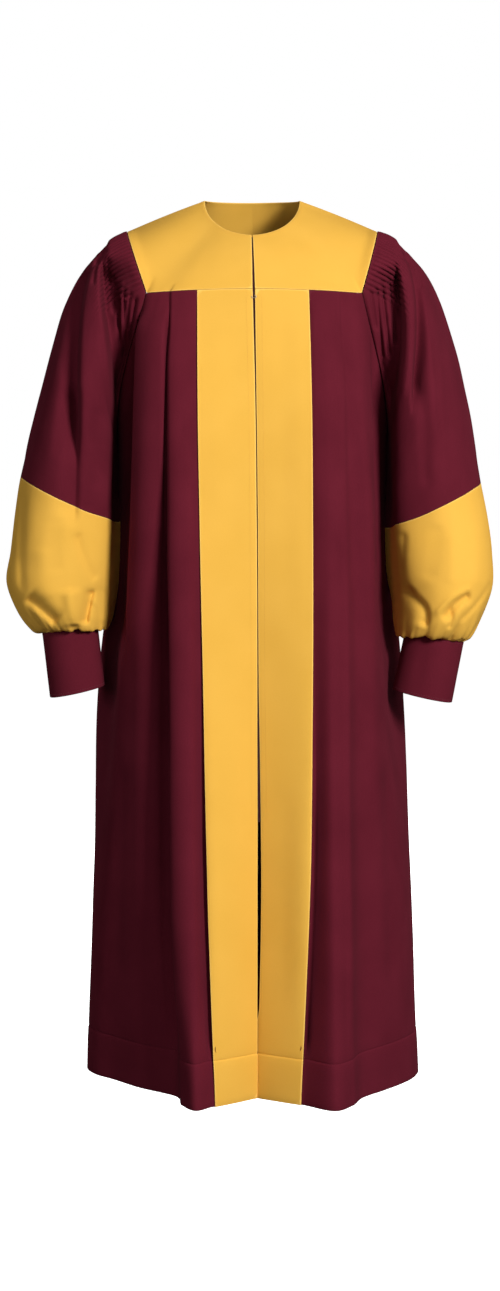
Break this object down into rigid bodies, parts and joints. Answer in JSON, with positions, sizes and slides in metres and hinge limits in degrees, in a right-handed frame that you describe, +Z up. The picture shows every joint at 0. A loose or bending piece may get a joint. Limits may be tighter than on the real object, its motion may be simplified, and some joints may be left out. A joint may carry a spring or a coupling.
{
  "type": "choir robe",
  "caption": "Long worn choir robe with a zipped front, two-colour panels, a flat yoke, and bishop sleeves gathered at the shoulder and into deep cuffs.",
  "frame": {"origin": "midway between the two points where the neckline meets the shoulder seams, where the wearer's shoulders hold the robe", "axes": "+Z up, +X to the wearer's left, -Y to the front of the robe"},
  "size_m": [0.6738, 0.4132, 1.2163],
  "materials": {
    "gold_cloth": "matt woven polyester, gold",
    "maroon_cloth": "matt woven polyester, maroon",
    "cuff_cloth": "matt woven polyester over a stiffener, maroon",
    "zip_tape": "woven tape, dark maroon",
    "hook_wire": "thin plated wire"
  },
  "bodies": {
    "root": {"yoke_front_right": "gold_cloth", "yoke_front_left": "gold_cloth", "yoke_back": "gold_cloth", "front_panel_right": "gold_cloth", "front_panel_left": "gold_cloth", "lower_sleeve_right": "gold_cloth", "lower_sleeve_left": "gold_cloth", "side_front_right": "maroon_cloth", "side_front_left": "maroon_cloth", "back": "maroon_cloth", "sleeve_right": "maroon_cloth", "sleeve_left": "maroon_cloth", "cuff_right": "cuff_cloth", "cuff_left": "cuff_cloth", "front_zip": "zip_tape", "hook": "hook_wire"}
  },
  "joints": []
}
